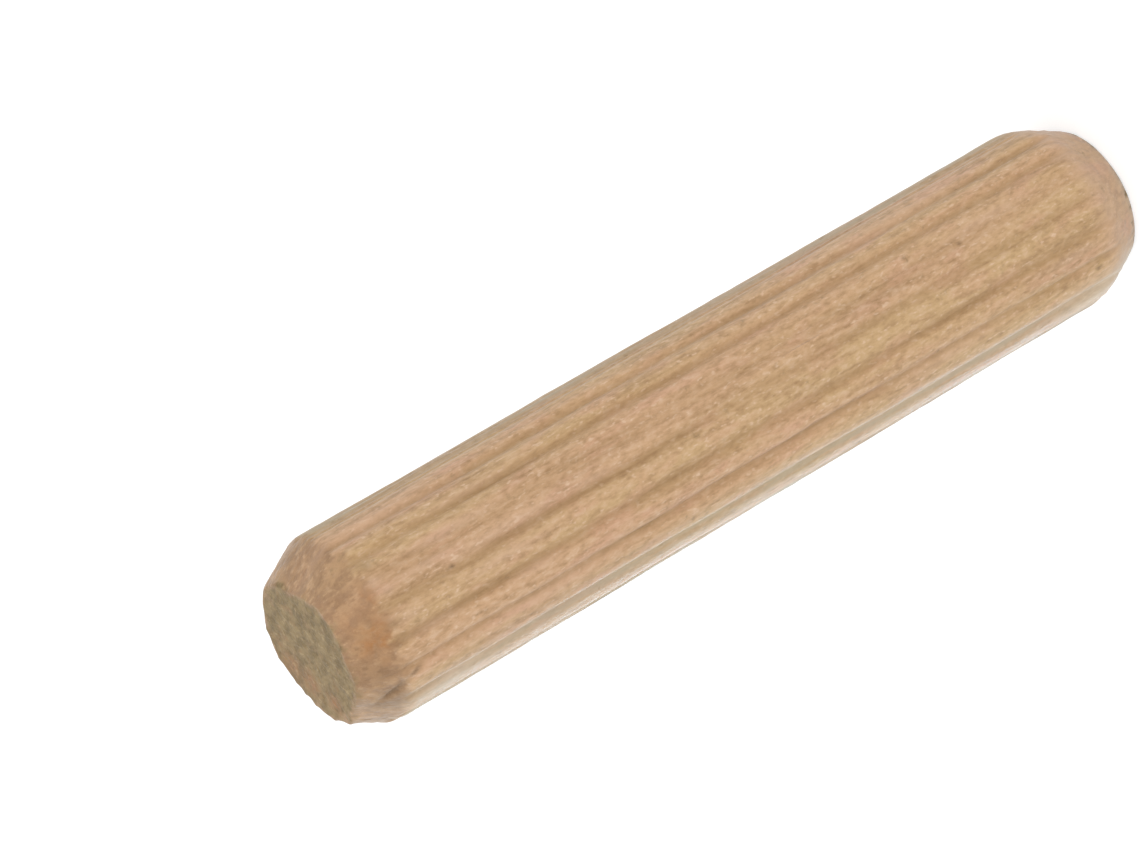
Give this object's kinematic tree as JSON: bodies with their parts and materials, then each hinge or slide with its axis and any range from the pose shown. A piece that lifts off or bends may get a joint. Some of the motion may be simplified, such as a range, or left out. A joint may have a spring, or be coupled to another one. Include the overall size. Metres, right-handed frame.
{
  "type": "fluted dowel pin",
  "caption": "Straight round wooden dowel pin, fluted along its whole length, with a short taper at each end, for gluing boards together edge to face.",
  "frame": {"origin": "centre of the lower end face, on the surface that the pin stands on", "axes": "+Z along the pin's axis from the lower end to the upper one; +X through the middle of a land between two flutes"},
  "size_m": [0.008, 0.008, 0.04],
  "materials": {
    "beech": "bare, unvarnished, pressed along the flutes and cut across the grain at the ends"
  },
  "bodies": {
    "root": {"dowel_pin": "beech"}
  },
  "joints": []
}
